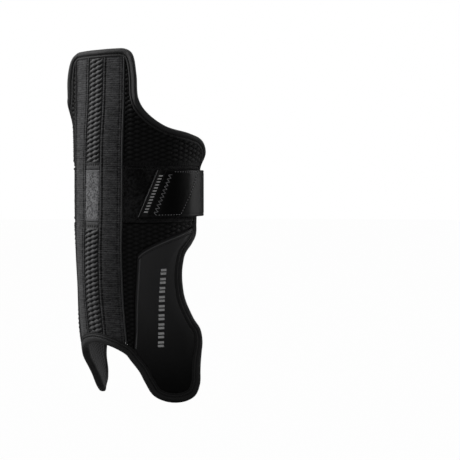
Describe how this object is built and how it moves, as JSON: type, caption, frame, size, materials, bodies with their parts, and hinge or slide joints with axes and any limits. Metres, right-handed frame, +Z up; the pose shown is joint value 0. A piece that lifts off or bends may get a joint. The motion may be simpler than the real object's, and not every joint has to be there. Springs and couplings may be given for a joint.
{
  "type": "shin guard",
  "caption": "Soft wrap-around shin guard with ankle lobes: padded shell with a hard shin insert, knit mesh and ribbed covers, bound edges and one hook-and-loop calf strap.",
  "frame": {"origin": "on the axis of the leg, at the level of the bottom of the ankle lobes", "axes": "+Z up the leg, the shin faces -Y, the strap's loose end lies on the +X side"},
  "size_m": [0.1548, 0.1411, 0.3806],
  "materials": {
    "lining": "brushed knit, matt",
    "foam": "closed-cell foam, matt",
    "shield": "moulded, fine grain",
    "strip_mesh": "raised knit mesh, slight sheen",
    "loop_felt": "brushed loop pile, matt",
    "rib_band": "fine horizontal ribs, matt",
    "piping": "corded edge, slight sheen",
    "knit_mesh": "spacer mesh with lens-shaped bumps, slight sheen",
    "loop_fabric": "short loop pile, matt",
    "ankle_cover": "smooth soft coated film, satin",
    "binding": "folded tape with stitched grooves, satin",
    "strap_cover": "synthetic leather, satin, stitched",
    "hook": "moulded micro hooks",
    "label": "moulded soft rubber, thin pale edge line",
    "elastic": "woven elastic, satin"
  },
  "bodies": {
    "guard": {"shin_lining": "lining", "wing_lining_left": "lining", "wing_lining_right": "lining", "ankle_lining_left": "lining", "ankle_lining_right": "lining", "shin_foam": "foam", "wing_foam_left": "foam", "wing_foam_right": "foam", "ankle_foam_left": "foam", "ankle_foam_right": "foam", "shin_shield": "shield", "ankle_cup_left": "shield", "ankle_cup_right": "shield", "centre_mesh_upper": "strip_mesh", "centre_mesh_lower": "strip_mesh", "front_loop_patch": "loop_felt", "rib_band_left": "rib_band", "rib_band_right": "rib_band", "seam_piping_left": "piping", "seam_piping_right": "piping", "wing_mesh_left": "knit_mesh", "wing_mesh_right": "knit_mesh", "loop_panel_left": "loop_fabric", "loop_panel_right": "loop_fabric", "calf_mesh_left": "knit_mesh", "calf_mesh_right": "knit_mesh", "ankle_cover_left": "ankle_cover", "ankle_cover_right": "ankle_cover", "upper_binding": "binding", "lower_binding": "binding", "strap_anchor": "strap_cover", "strap_root": "elastic"},
    "strap_band": {"strap_band": "elastic"},
    "strap_end": {"strap_tail": "elastic", "hook_pad": "hook", "strap_cover": "strap_cover", "pull_label": "label"}
  },
  "joints": [
    {"name": "strap_swing", "type": "hinge", "parent": "guard", "child": "strap_band", "pos_m": [-0.0447, 0.0482, 0.2265], "axis": [0, 0, 1], "range_deg": [0, 100]},
    {"name": "strap_peel", "type": "hinge", "parent": "strap_band", "child": "strap_end", "pos_m": [0.0492, 0.0441, 0.2265], "axis": [0, 0, 1], "range_deg": [0, 115]}
  ]
}
